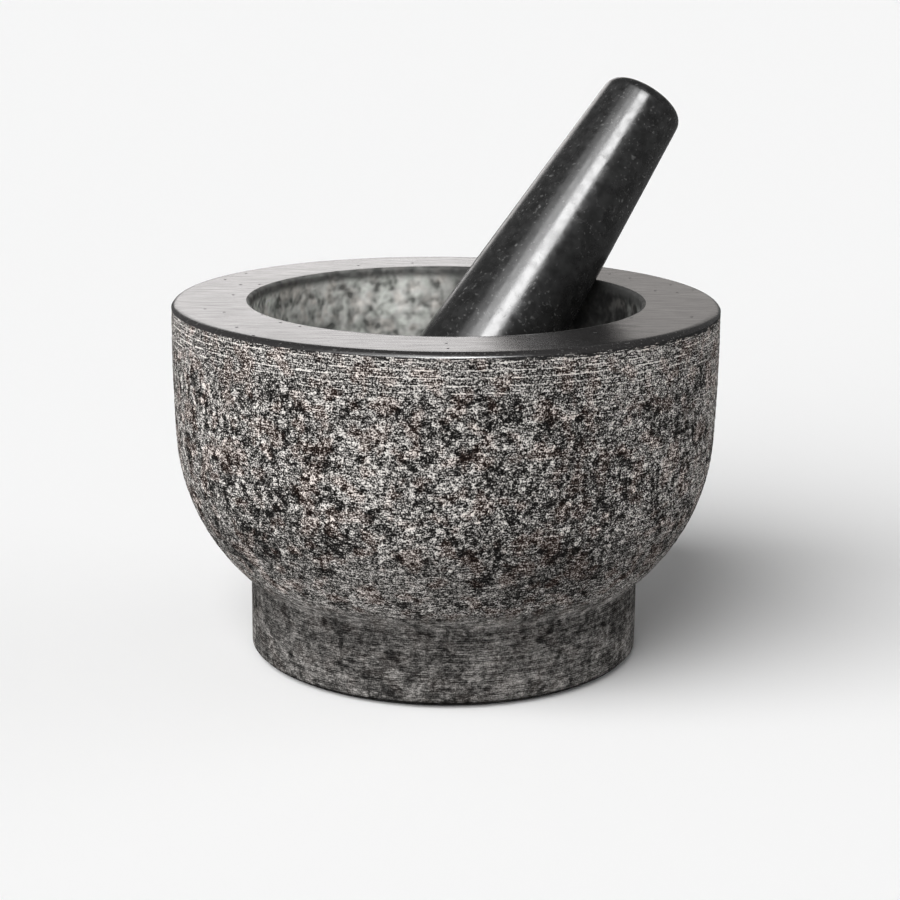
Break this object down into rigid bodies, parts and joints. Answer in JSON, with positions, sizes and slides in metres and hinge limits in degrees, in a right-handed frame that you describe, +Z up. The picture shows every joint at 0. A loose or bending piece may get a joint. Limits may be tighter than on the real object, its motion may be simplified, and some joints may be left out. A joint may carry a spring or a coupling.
{
  "type": "molcajete",
  "caption": "Round granite mortar on a plain foot with a thin non-slip pad, and a tapered granite pestle that leans in its bowl and lifts out.",
  "frame": {"origin": "centre of the underside of the pad that the mortar stands on", "axes": "+Z up along the mortar's axis, -Y towards the front, +X to the right seen from the front; the pestle leans to the right and back"},
  "size_m": [0.1402, 0.1402, 0.1461],
  "materials": {
    "mortar_granite": "turned and pecked, rim polished",
    "pestle_granite": "polished",
    "pad_rubber": "matte"
  },
  "bodies": {
    "mortar": {"mortar": "mortar_granite", "base_pad": "pad_rubber"},
    "pestle": {"pestle": "pestle_granite"}
  },
  "joints": [
    {"name": "pestle_lift", "type": "slide", "parent": "mortar", "child": "pestle", "axis": [0, 0, 1], "range_m": [0, 0.08]}
  ]
}
